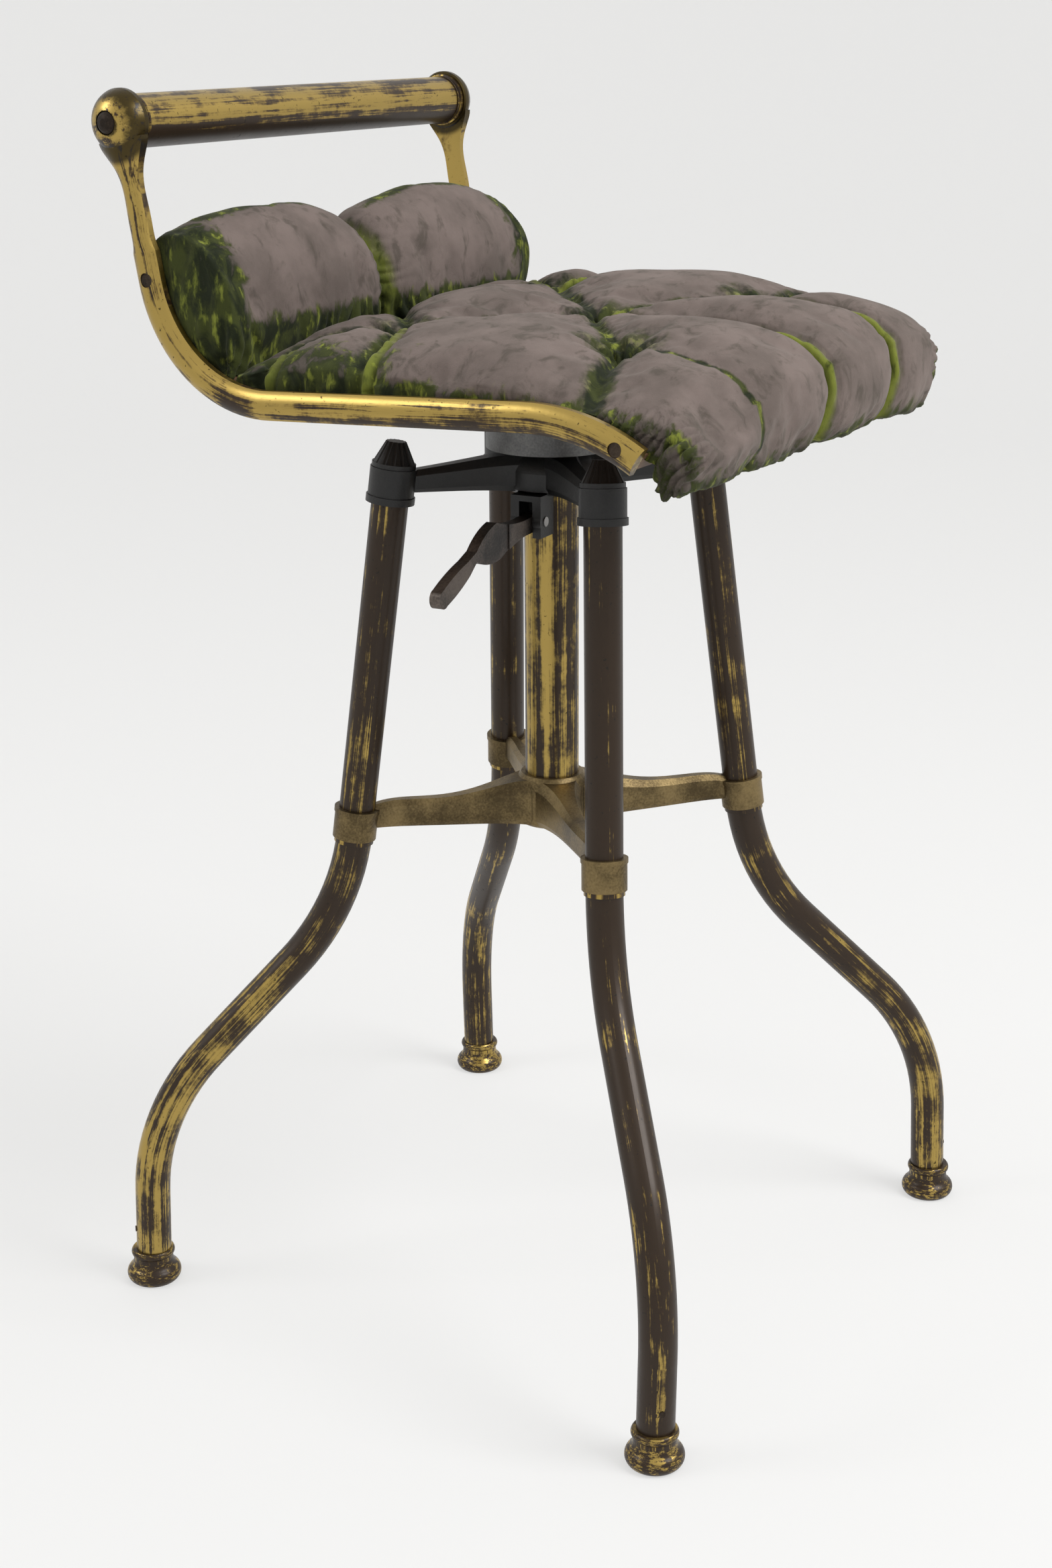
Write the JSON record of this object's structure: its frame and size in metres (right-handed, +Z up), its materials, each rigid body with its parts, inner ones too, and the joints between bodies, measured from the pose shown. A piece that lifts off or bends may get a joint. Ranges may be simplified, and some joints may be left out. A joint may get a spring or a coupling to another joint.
{
  "type": "revolving piano stool",
  "caption": "Revolving piano stool: buttoned velvet seat between brass side bars and a handrail, on a rising post, two spiders and splayed tube legs.",
  "frame": {"origin": "on the floor, on the column's axis, midway between the four feet", "axes": "+Z up along the column, the seat's front towards -Y, the sitter's left hand towards +X"},
  "size_m": [0.3614, 0.3614, 0.6341],
  "materials": {
    "aged_brass": "brown-black patina over brass, worn brighter on the edges",
    "golden_brass": "aged golden brass with brown streaks",
    "gunmetal": "dull cast brass",
    "black_japan": "black japanned casting, satin",
    "grey_iron": "grey painted casting",
    "bent_wood": "dark stained board",
    "velvet": "crushed velvet, mauve-grey nap over dark yellow-green",
    "steel": "dull steel"
  },
  "bodies": {
    "base": {"leg_front_left": "aged_brass", "leg_back_left": "aged_brass", "leg_back_right": "aged_brass", "leg_front_right": "aged_brass", "foot_front_left": "aged_brass", "foot_back_left": "aged_brass", "foot_back_right": "aged_brass", "foot_front_right": "aged_brass", "foot_pins": "aged_brass", "collar_rings": "golden_brass", "lower_spider": "gunmetal", "upper_spider": "black_japan", "leg_cap_nut_front_left": "black_japan", "leg_cap_nut_back_left": "black_japan", "leg_cap_nut_back_right": "black_japan", "leg_cap_nut_front_right": "black_japan", "leg_studs": "steel", "column_tube": "aged_brass", "guide_bush": "golden_brass", "column_base_plug": "steel", "lever_pin": "steel"},
    "lever": {"clamp_lever": "golden_brass"},
    "shoe": {"brake_shoe": "steel"},
    "post": {"seat_post": "steel", "guide_ring": "steel", "post_end_screw": "steel", "thrust_washer": "steel", "pivot_screw": "steel"},
    "seat": {"seat_plate": "grey_iron", "plate_screws": "steel", "seat_shell": "bent_wood", "side_bar_left": "golden_brass", "side_bar_right": "golden_brass", "handrail_tube": "golden_brass", "rail_ring_left": "golden_brass", "rail_ring_right": "golden_brass", "rail_nut_left": "steel", "rail_nut_right": "steel", "tie_rod": "steel", "bar_screws": "steel", "seat_pad": "velvet", "back_pad": "velvet", "tuft_buttons": "velvet"}
  },
  "joints": [
    {"name": "post_lift", "type": "slide", "parent": "base", "child": "post", "axis": [0, 0, 1], "range_m": [0, 0.13]},
    {"name": "seat_turn", "type": "hinge", "parent": "post", "child": "seat", "pos_m": [0, 0, 0.477], "axis": [0, 0, 1], "continuous": true},
    {"name": "lever_swing", "type": "hinge", "parent": "base", "child": "lever", "pos_m": [-0.02354, -0.00165, 0.421], "axis": [-0.0698, 0.9976, 0], "range_deg": [0, 28]},
    {"name": "shoe_draw", "type": "slide", "parent": "base", "child": "shoe", "axis": [-0.9976, -0.0698, 0], "range_m": [0, 0.0005]}
  ],
  "couplings": [
    {"joint": "shoe_draw", "follows": "lever_swing", "m_per_rad": 0.001}
  ]
}
